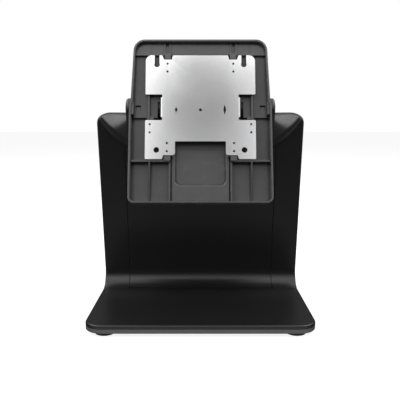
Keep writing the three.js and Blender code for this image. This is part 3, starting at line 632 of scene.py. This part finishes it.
def make_front_cover():
    r, low = 0.5, BASE_TOP + GAP
    turns = np.radians([0, 25, 50, 70, 90])
    layers = [(-r * (1 - math.sin(t)), r * (1 - math.cos(t)), low + 0.6 * (1 - math.sin(t))) for t in turns]
    layers.append((0.0, COVER_THICK, low))
    skin = swept_plug("front_cover_skin", COVER_HALF, COVER_TOP, COVER_CORNER, layers)
    hooks = []
    for side in (-1, 1):
        x0, x1 = sorted((side * 81, side * 83))
        for z in (60, 160):
            hooks.append(leaning_box("tool", x0, x1, COVER_THICK - 1, COVER_THICK + 6, z, z + 12))
    join(skin, *hooks)
    shade(skin, 34)
    finished(skin, "front_cover", "gloss_black_plastic", "front_cover_body")


def slab(name, corners, low, high, axis="z", low_round=0.0, high_round=0.0, step=6.0, plane=outline):
    """Plate with rounded edges, drawn as an outline and given a thickness along an axis."""
    turns = np.radians([0, 18, 36, 54, 72, 90])

    def rounded(level, r):
        """(level, inset) rows from a face to the edge of its rounding; a minus radius rounds downwards."""
        if r == 0:
            return [(level, 0.0)]
        return [(level + r * (1 - math.cos(t)), abs(r) * (1 - math.sin(t))) for t in turns]

    rings = rounded(low, low_round) + rounded(high, -high_round)[::-1]
    return loft(name, [lift(plane(corners, inset, step), axis, level) for level, inset in rings])


def make_rear_cover():
    back = FRONT_Y + THICKNESS
    w, r = REAR_HALF, 0.8
    corners = [(-w, REAR_BOTTOM, r), (-OUTLET_HALF, REAR_BOTTOM, r), (-OUTLET_HALF, OUTLET_TOP, 4),
               (OUTLET_HALF, OUTLET_TOP, 4), (OUTLET_HALF, REAR_BOTTOM, r), (w, REAR_BOTTOM, r),
               (w, REAR_TOP, r), (-w, REAR_TOP, r)]
    panel = slab("rear_cover_panel", corners, back - REAR_THICK, back, "y", high_round=0.5)
    leaning(panel)
    cut(panel, *rear_screw_tools())
    finished(shade(panel), "rear_cover", "gloss_black_plastic", "stand")


# ------------------------------------------------------------------ foot plate, feet and screws
def make_foot_plate():
    plate = slab("foot_plate_sheet", base_corners(), FOOT_HEIGHT, PLATE_TOP, low_round=1.5, high_round=0.4)
    tools = [prism("tool", circle(sx * FOOT_X, sy * FOOT_Y, FOOT_R + GAP), 0, FOOT_HEIGHT + 1.5)
             for sx in (-1, 1) for sy in (-1, 1)]
    sinks = (SHELL_SCREWS, SCREW_HOLE, 3.5, 2.6), (FRAME_SCREWS, 2.8, 5.0, 3.2)
    for spots, hole, head, height in sinks:
        for x, y in spots:
            tools.append(prism("tool", circle(x, y, head), 0, FOOT_HEIGHT + height))
            tools.append(prism("tool", circle(x, y, hole, 24), 0, PLATE_TOP + 1))
    cut(plate, *tools)
    finished(shade(plate), "foot_plate", "painted_foot_plate", "stand")


def make_feet():
    top = RISE + FOOT_HEIGHT + 1.2
    profile = [(0, 0), (9.3, 0), (9.7, 0.35), (10.3, 0.35), (10.8, 0.55), (11.2, 1.0), (11.4, 1.6),
               (FOOT_R, 2.2), (FOOT_R, top), (0, top)]
    for end, sy in (("front", -1), ("rear", 1)):
        for side, sx in (("left", -1), ("right", 1)):
            foot = turned(f"rubber_foot_{end}_{side}", profile)
            move(foot, sx * FOOT_X, sy * FOOT_Y, -RISE)
            finished(shade(foot), f"foot_{end}_{side}", "grey_rubber", "stand")


def cap_screw(name, r, length, head, height):
    """Cap screw with a hex socket: its head starts at zero and its shank points along +Z."""
    profile = [(0, 0), (head - 0.55, 0), (head - 0.25, 0.08), (head - 0.06, 0.28), (head, 0.6),
               (head, height), (r, height), (r, height + length - 0.5), (r - 0.5, height + length),
               (0, height + length)]
    body = turned(name, profile, 32)
    return cut(body, prism("tool", circle(0, 0, head * 0.5, 6), -1, height * 0.6))


def make_screws():
    under = Matrix.Translation((0, 0, (FOOT_HEIGHT + GAP) / 1000))
    for kind, spots, size, slot in (("shell", SHELL_SCREWS, SHELL_SCREW, "black_steel"),
                                    ("frame", FRAME_SCREWS, FRAME_SCREW, "bare_steel")):
        for i, (x, y) in enumerate(spots, 1):
            screw = shift(cap_screw(f"{kind}_cap_screw_{i}", *size), under)
            move(screw, x, y)
            finished(shade(screw), f"{kind}_screw_{i}", slot, "stand")
    for name, side in (("left", -1), ("right", 1)):
        for i, (y, z) in enumerate(BRACKET_SCREWS, 1):
            screw = cap_screw(f"bracket_cap_screw_{name}_{i}", *BRACKET_SCREW)
            shift(screw, Matrix.Rotation(-side * math.pi / 2, 4, "Y"))
            move(screw, side * BRACKET_INSIDE, y, z)
            finished(shade(screw), f"bracket_screw_{name}_{i}", "bare_steel", "stand")
        screw = cap_screw(f"rear_cap_screw_{name}", *REAR_SCREW)
        shift(screw, Matrix.Rotation(math.pi / 2 + BETA, 4, "X"))
        proud = REAR_SCREW[3] + GAP
        move(screw, side * REAR_SCREW_X, face_y(REAR_SCREW_Z) + THICKNESS + proud * math.cos(BETA),
             REAR_SCREW_Z + proud * math.sin(BETA))
        finished(shade(screw), f"rear_cover_screw_{name}", "black_steel", "stand")


# ------------------------------------------------------------------ neck
def neck_section(inset):
    """Side view of the neck: chin, barrel and roof. The inside has no point half way along its roof."""
    chin, roof = math.radians(205), math.radians(75.7)
    r = NECK_R - inset
    on_chin = np.array([AXIS_Y + r * math.cos(chin), AXIS_Z + r * math.sin(chin)])
    end_chin = on_chin + 26 * np.array([math.sin(math.radians(25)), -math.cos(math.radians(25))])
    face = face_y(NECK_BOTTOM)
    low = NECK_BOTTOM if inset == 0 else NECK_BOTTOM - 5
    points = [] if inset == 0 else [(face + inset, low), (face + inset, NECK_BOTTOM + inset)]
    start = np.array([face, NECK_BOTTOM + inset])
    middle = np.array([end_chin[0] + 5 + inset / 2, NECK_BOTTOM + 1.2 + inset])
    for t in np.linspace(0, 1, 13):
        points.append(tuple(start * (1 - t) ** 2 + middle * 2 * t * (1 - t) + end_chin * t * t))
    for t in (0.33, 0.66):
        points.append(tuple(end_chin + (on_chin - end_chin) * t))
    for a in np.linspace(chin, roof, 33):
        points.append((AXIS_Y + r * math.cos(a), AXIS_Z + r * math.sin(a)))
    if inset == 0:
        points.append((ROOF_MIDDLE, ROOF_FRONT_Z - ROOF_SLOPE * (ROOF_MIDDLE - ROOF_FRONT_Y)))
    points += [(NECK_BACK - 8, 243 - inset), (NECK_BACK - inset, 241.8 - inset),
               (NECK_BACK - inset, 225), (NECK_BACK - inset, low)]
    return np.array(points)


def shrunk(points, amounts):
    """A closed outline moved inwards by an amount at each point."""
    ahead = np.roll(points, -1, axis=0) - points
    ahead /= np.linalg.norm(ahead, axis=1)[:, None]
    back = np.roll(ahead, 1, axis=0)
    x, y = points[:, 0], points[:, 1]
    turn = 1.0 if np.sum(x * np.roll(y, -1) - np.roll(x, -1) * y) > 0 else -1.0
    normal = turn * np.stack([-(ahead + back)[:, 1], (ahead + back)[:, 0]], axis=1)
    normal /= np.linalg.norm(normal, axis=1)[:, None]
    square = turn * np.stack([-ahead[:, 1], ahead[:, 0]], axis=1)
    stretch = 1 / np.clip(np.sum(normal * square, axis=1), 0.5, 1)
    return points + normal * (amounts * stretch)[:, None]


def neck_shell():
    r, section = 3.4, neck_section(0)
    near_face = np.clip((section[:, 1] - NECK_BOTTOM - 0.7) / 6, 0, 1)
    turns = np.radians(np.linspace(0, 90, 11))
    ends = [(NECK_HALF - r * (1 - math.cos(t)), r * (1 - math.sin(t))) for t in turns]
    stations = [(-x, inset) for x, inset in ends] + [(-40, 0.0), (0, 0.0), (40, 0.0)]
    stations += ends[::-1]
    outer = loft("neck", [lift(shrunk(section, near_face * inset), "x", x) for x, inset in stations])
    half = NECK_HALF - NECK_WALL
    inner = prism("tool", neck_section(NECK_WALL), -half, half, "x")
    reach = 45
    swing = [(AXIS_Y, AXIS_Z)]
    for a in np.radians([-62, -20, 20, 60, 95, 120]):
        swing.append((AXIS_Y - reach * math.cos(a), AXIS_Z + reach * math.sin(a)))
    slots = [prism("tool", swing, *sorted((side * (EAR_OUTER - 2.4), side * (EAR_OUTER + 0.7))), "x")
             for side in (-1, 1)]
    return cut(outer, inner, *slots)


def make_neck():
    for name, node, keep, gap in (("neck_front_shell", "neck_cover_front", cut, -GAP / 2),
                                  ("neck_top_shell", "neck_cover_top", clip, GAP / 2)):
        piece = neck_shell()
        keep(piece, box("tool", -140, 140, 4 + gap, HALF_DEPTH, 230 + gap, 290))
        piece.name = piece.data.name = name
        finished(shade(piece, 34), node, "gloss_black_plastic", "stand")


# ------------------------------------------------------------------ head
HINGE = Vector((0, AXIS_Y / 1000, AXIS_Z / 1000))
LAID_BACK = Matrix.Translation(HINGE) @ Matrix.Rotation(math.pi / 2 - TILT, 4, "X")


def on_head(obj, node, slot):
    shift(obj, LAID_BACK)
    return finished(obj, node, slot, "head")


def make_mount_plate():
    back = SHEET_FRONT - SHEET_THICK
    fold = 2.6
    bend = EAR_OUTER - fold
    half = [
        (31.8, 57.2), (33.1, 52.1, 0.6), (42.1, 52.1, 0.6), (43.9, 57.2, 0.9), (62.9, 57.2, 7),
        (62.9, 10.8, 1.2), (bend, 10.8, 0.9), (bend, -19.3, 0.9), (63, -19.3, 1.2), (63, -64.4, 1.2),
        (43.6, -64.4, 0.9), (42.3, -59.9, 0.6), (28.8, -59.9, 3), (28.8, -44, 0.6),
    ]
    plate = prism("mount_sheet", mirrored(half, 0, 9), back, SHEET_FRONT)

    profile = [(EAR_BOTTOM, SHEET_FRONT - fold), (EAR_BOTTOM, 17)]
    turns = np.radians(np.linspace(195, 360, 34))
    profile += [(9 * math.cos(a), 9 * math.sin(a)) for a in turns]
    profile += [(EAR_TOP, 15), (EAR_TOP, SHEET_FRONT - fold)]
    turns = np.radians(np.linspace(0, 90, 9))
    for side in (-1, 1):
        ear = prism("tool", profile, *sorted((side * (EAR_OUTER - SHEET_THICK), side * EAR_OUTER)), "x")
        arc = [(math.cos(t), math.sin(t)) for t in turns]
        bent = [(side * (bend + fold * c), SHEET_FRONT - fold + fold * s) for c, s in arc]
        bent += [(side * (bend - 0.2), SHEET_FRONT), (side * (bend - 0.2), back)]
        inner = fold - SHEET_THICK
        bent += [(side * (bend + inner * c), SHEET_FRONT - fold + inner * s) for c, s in arc[::-1]]
        corner = prism("tool", bent, EAR_BOTTOM, EAR_TOP, "y")
        join(plate, ear, corner)

    through = []

    def hole(x, y, r, count=24):
        through.append(prism("tool", circle(x, y, r, count), back - 1, SHEET_FRONT + 1))

    small = [(37.9, 47.2), (37.9, 37.9), (38.1, -45.95), (38.1, -55.3), (57.8, -24.1), (57.8, -33.5)]
    upper, lower, slot = 46.2, -53.9, 2.8
    hole(0, -7.3, 1.6)
    for side in (-1, 1):
        for x, y in small:
            hole(side * x, y, 1.25)
        x = side * 50
        hole(x, upper, 3.2, 40)
        hole(x, lower, 3.2, 40)
        through.append(box("tool", x - slot, x + slot, upper, 60, back - 1, SHEET_FRONT + 1))
    for x, tall in ((-27.7, 3.2), (27.7, 6)):
        diamond = [(x - 1.6, -7.2), (x, -7.2 - tall), (x + 1.6, -7.2), (x, -7.2 + tall)]
        through.append(prism("tool", diamond, back - 1, SHEET_FRONT + 1))
    key = prism("tool", circle(0, 0, BORE_R, 48), -60, 60, "x")
    clip(key, box("tool", -70, 70, -9, 9, -3.3, 3.3))
    cut(plate, *through, key)
    bevel(clean(plate), 0.18)
    on_head(shade(plate), "mount_plate", "plated_sheet_steel")


def tray_outline(inset, step=7.0):
    return mirrored([(76.5, TRAY_TOP, 13), (79.7, 2.2), (81.4, -0.6), (81.9, TRAY_BOTTOM, 7)], inset, step)


def make_tray():
    wall, rim = 2.2, TRAY_RIM
    floor, band, upper, shelf = 12.5, 17.0, 20.0, 23.0      # heights, from the lower bays upwards
    band_bottom, band_top, ledge = -14.3, 3.4, 59.0         # where each of them begins
    under = floor - wall
    tray = slab("tray_moulding", None, 0, rim, high_round=0.7, step=7.0,
                plane=lambda _, inset, step: tray_outline(inset, step))
    clip(tray, prism("tool", [
        (TRAY_BOTTOM - 1, under), (band_bottom + wall, under), (band_bottom + wall, band - wall),
        (band_top, band - wall), (ledge + wall, upper - wall), (ledge + wall, shelf - wall),
        (TRAY_TOP + 1, shelf - wall), (TRAY_TOP + 1, rim + 1), (TRAY_BOTTOM - 1, rim + 1)],
        -90, 90, "x"))
    hollow = prism("tool", tray_outline(wall), 0, rim + 5)
    clip(hollow, prism("tool", [
        (TRAY_BOTTOM - 1, floor), (band_bottom, floor), (band_bottom, band), (band_top, band),
        (ledge, upper), (ledge, shelf), (TRAY_TOP + 1, shelf), (TRAY_TOP + 1, rim + 6),
        (TRAY_BOTTOM - 1, rim + 6)], -90, 90, "x"))

    deck = SHEET_FRONT - SHEET_THICK - GAP
    low = under + 0.5
    stiffening = box("stiffening", -32.4, 32.4, TRAY_BOTTOM + 1, -52, low, 19)
    ribs = []
    for side in (-1, 1):
        def rib(x0, x1, y0, y1, top, start=low):
            a, b = sorted((side * x0, side * x1))
            ribs.append(box("tool", a, b, y0, y1, start, top))
        rib(44.2, 78.5, 58, 59.9, deck)
        rib(40.4, 42.4, 58, 74, deck)
        rib(34, 36, 58, 74, deck)
        rib(56.6, 57.8, 58, 74, shelf + 0.7)
        rib(32.8, 43.6, 57.8, 59.9, deck)
        rib(34.1, 41.1, 53, 60, SHEET_FRONT - 0.4)
        rib(58.4, 60.2, -19, 58.5, deck)
        rib(53.7, 61.4, -17.8, -13.5, deck - 2)
        rib(76.5, 79.2, -12.6, 2.6, rim - 2)
        rib(34.1, 80.5, -66.9, -64.9, deck)
        rib(34.1, 36.1, -112.5, -60.4, deck - 3)
        rib(34.1, 41.5, -66, -60.5, SHEET_FRONT - 0.4)
        rib(30, 32, -62, ledge, deck, band)
        fin = [(-110, low), (-110, 14.5), (-67, deck), (-66, deck), (-66, low)]
        a, b = sorted((side * 57.2, side * 59))
        ribs.append(prism("tool", fin, a, b, "x"))
    join(stiffening, *ribs)

    body = tray.copy()
    body.data = tray.data.copy()
    bpy.context.scene.collection.objects.link(body)
    clip(stiffening, body)
    cut(tray, hollow)
    join(tray, stiffening)
    pocket = [(-27.9, -92.4, 5), (27.9, -92.4, 5), (27.9, -40, 0.3), (-27.9, -40, 0.3)]
    lip = [(0.0, 14.0), (-0.5, 16.2)]
    for t in np.radians(np.linspace(0, 90, 7)):
        lip.append((-0.5 - 2.4 * (1 - math.cos(t)), 16.4 + 2.7 * math.sin(t)))
    lip.append((-2.9, rim + 5))
    recess = loft("tool", [lift(outline(pocket, spread), "z", w) for spread, w in lip])
    cable = prism("tool", outline([(-24, -40, 4), (24, -40, 4), (24, -20, 4), (-24, -20, 4)]), 0, 18)
    tools = [recess, prism("tool", circle(0, 0, 15.2, 96), -90, 90, "x"), cable]
    for side in (-1, 1):
        a, b = sorted((side * 42.5, side * 49.6))
        tools.append(box("tool", a, b, -19, 7.5, 0, rim + 5))
        a, b = sorted((side * 69, side * 75))
        tools.append(box("tool", a, b, -1.8, 0.4, 0, rim))
        for x in (69.2, 73.8):
            a, b = sorted((side * x, side * (x + 0.9)))
            tools.append(box("tool", a, b, -5.2, -1.8, band - 0.8, rim))
        a, b = sorted((side * 36, side * 40.4))
        tools.append(box("tool", a, b, ledge + 0.9, 73, 21.4, rim))
    cut(tray, *tools)
    bevel(clean(tray), 0.45)
    on_head(shade(tray), "head_tray", "grey_moulded_plastic")


SHAFT_START, FRICTION_AT, SPRING_AT, NUT_AT = 42.0, 71.0, 75.6, 77.7
SHAFT_R, BORE_R, FLAT = 4.0, 4.3, 3


def along_hinge(obj, side, at):
    """Turns a piece drawn about Z on to the hinge line, with its foot at a distance from the middle."""
    shift(obj, Matrix.Rotation(side * math.pi / 2, 4, "Y"))
    return move(obj, side * at)


def make_hinges():
    for name, side in (("left", -1), ("right", 1)):
        rounds = [(0, 0), (5.6, 0), (6, 0.4), (6, 2.3), (SHAFT_R, 2.3), (SHAFT_R, 26.0), (6.6, 26.0),
                  (7, 26.4), (7, 28.3), (6.6, 28.7), (SHAFT_R, 28.7), (SHAFT_R, 41.0), (3.5, 41.5),
                  (0, 41.5)]
        shaft = turned(f"hinge_axle_{name}", rounds, 40)
        flats = [box("tool", -9, 9, *edge, 2.3, EAR_OUTER + GAP - SHAFT_START)
                 for edge in ((FLAT, 6), (-6, -FLAT))]
        cut(shaft, *flats)
        on_head(shade(along_hinge(shaft, side, SHAFT_START)), f"hinge_shaft_{name}", "bare_steel")
        ring = [(BORE_R, 0), (8.3, 0), (8.5, 0.2), (8.5, 0.8), (8.3, 1.0), (BORE_R, 1.0)]
        washer = along_hinge(turned_ring(f"friction_disc_{name}", ring), side, FRICTION_AT)
        on_head(shade(washer), f"friction_washer_{name}", "black_steel")
        dish = [(BORE_R, 0), (8.2, 0.7), (8.2, 1.8), (BORE_R, 1.1)]
        spring = along_hinge(turned_ring(f"dished_spring_{name}", dish), side, SPRING_AT)
        on_head(shade(spring), f"spring_washer_{name}", "bare_steel")
        nut = prism(f"hex_nut_{name}", circle(0, 0, 7, 6), 0, 4.6)
        cut(nut, prism("tool", circle(0, 0, BORE_R, 40), -1, 6))
        bevel(nut, 0.35)
        on_head(shade(along_hinge(nut, side, NUT_AT)), f"hinge_nut_{name}", "bare_steel")


def dress_steelwork():
    """The frame and its brackets keep their CAD shape, with eased edges and a plated finish."""
    for node in ("upright_frame", "hinge_bracket_left", "hinge_bracket_right"):
        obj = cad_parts[node]
        obj.data.materials.clear()
        obj.data.materials.append(materials["bare_steel"])
        step = obj.modifiers.new("eased", "BEVEL")
        step.width = 0.0003
        step.segments = 2
        step.limit_method = "ANGLE"
        step.angle_limit = math.radians(40)


make_housing()
make_front_cover()
make_rear_cover()
make_foot_plate()
make_feet()
make_screws()
make_neck()
make_mount_plate()
make_tray()
make_hinges()
dress_steelwork()


# ------------------------------------------------------------------ floor, light and camera
TABLE_HALF, ROOM_RADIUS = 9000, 9500
# Brightness of the room by the height of the direction looked in, from straight down to straight up
ROOM_LIGHT = [(-1.0, 0.38), (-0.55, 0.34), (-0.4, 0.08), (-0.1, 0.06),
              (0.3, 0.06), (0.5, 0.25), (1.0, 0.40)]


def glowing(name, base, glow):
    """Matt white paper of a given shade that also gives off light."""
    mat = bpy.data.materials.new(name)
    mat.use_nodes = True
    shader = mat.node_tree.nodes["Principled BSDF"]
    shader.inputs["Base Color"].default_value = (base, base, base, 1)
    shader.inputs["Roughness"].default_value = 0.9
    shader.inputs["Specular IOR Level"].default_value = 0.0
    shader.inputs["Emission Color"].default_value = (1, 1, 1, 1)
    shader.inputs["Emission Strength"].default_value = glow
    return mat


def stage(obj, mat, seen, felt):
    """Part of the studio. `seen` shows it to the camera and `felt` lets it light the stand."""
    obj.data.materials.append(mat)
    obj.visible_camera = seen
    obj.visible_diffuse = obj.visible_glossy = felt
    obj.visible_shadow = False


def make_set():
    """Pale table and white room behind it, with a small white card in front of the base."""
    table = box("floor", -TABLE_HALF, TABLE_HALF, -TABLE_HALF, TABLE_HALF, -20, 0)
    stage(table, glowing("pale_paper", 0.30, 0.86), True, False)
    turns = np.radians(np.linspace(-5, 90, 24))[:-1]
    rings = [lift(circle(0, 0, ROOM_RADIUS * math.cos(t), 64), "z", ROOM_RADIUS * math.sin(t))
             for t in turns]
    stage(loft("backdrop", rings), glowing("white_room", 0.0, 1.0), True, False)
    card = box("bounce_card", -142, 142, -142, -106, -1, 0.4)
    stage(card, glowing("card", 0.0, 0.85), False, True)


def make_world():
    """Dim room: lighter towards the ceiling and towards the floor, dark around the horizon."""
    world = bpy.data.worlds.new("studio")
    world.use_nodes = True
    nodes, links = world.node_tree.nodes, world.node_tree.links
    place = nodes.new("ShaderNodeTexCoord")
    split = nodes.new("ShaderNodeSeparateXYZ")
    height = nodes.new("ShaderNodeMapRange")
    height.inputs["From Min"].default_value = -1
    ramp = nodes.new("ShaderNodeValToRGB")
    for _ in ROOM_LIGHT[2:]:
        ramp.color_ramp.elements.new(0.5)
    for element, (z, level) in zip(ramp.color_ramp.elements, ROOM_LIGHT):
        element.position = (z + 1) / 2
        element.color = (level, level, level, 1)
    links.new(place.outputs["Generated"], split.inputs[0])
    links.new(split.outputs["Z"], height.inputs["Value"])
    links.new(height.outputs["Result"], ramp.inputs["Fac"])
    links.new(ramp.outputs["Color"], nodes["Background"].inputs["Color"])
    bpy.context.scene.world = world


def softbox(name, azimuth, elevation, distance, width, height, radiance):
    """Soft light facing the hinge. Azimuth runs from the front towards +X; degrees and metres."""
    turn, rise = math.radians(azimuth), math.radians(elevation)
    aim = Vector((math.sin(turn) * math.cos(rise), -math.cos(turn) * math.cos(rise), math.sin(rise)))
    data = bpy.data.lights.new(name, "AREA")
    data.shape = "RECTANGLE"
    data.size, data.size_y = width, height
    data.energy = radiance * math.pi * width * height
    light = bpy.data.objects.new(name, data)
    light.location = HINGE + aim * distance
    light.rotation_euler = aim.to_track_quat("Z", "Y").to_euler()
    bpy.context.scene.collection.objects.link(light)


def make_studio():
    make_set()
    make_world()
    softbox("overhead", 0, 76, 1.5, 3.0, 2.4, 1.2)
    softbox("front_left", -33, 32, 1.8, 1.5, 1.1, 1.35)
    softbox("front_right", 33, 32, 1.8, 1.5, 1.1, 0.85)
    softbox("front_low", 0, 19, 2.0, 2.6, 0.6, 0.42)
    softbox("flank_left", -66, 8, 2.4, 1.5, 1.6, 0.7)
    softbox("flank_right", 66, 8, 2.4, 1.5, 1.6, 0.7)
    softbox("back", 180, 58, 2.4, 2.6, 1.2, 0.6)
    softbox("side_left", -98, 43, 1.6, 1.7, 0.9, 3.3)
    softbox("side_right", 98, 43, 1.6, 1.7, 0.9, 3.3)
    bpy.context.scene.view_settings.view_transform = "Standard"


def make_camera():
    data = bpy.data.cameras.new("camera")
    data.lens = 50.35
    data.sensor_width = 36
    data.shift_x = -0.0011
    camera = bpy.data.objects.new("camera", data)
    camera.location = (0, -0.68135, 0.23648)
    camera.rotation_euler = (math.radians(81.664), 0, 0)
    bpy.context.scene.collection.objects.link(camera)
    bpy.context.scene.camera = camera


make_studio()
make_camera()
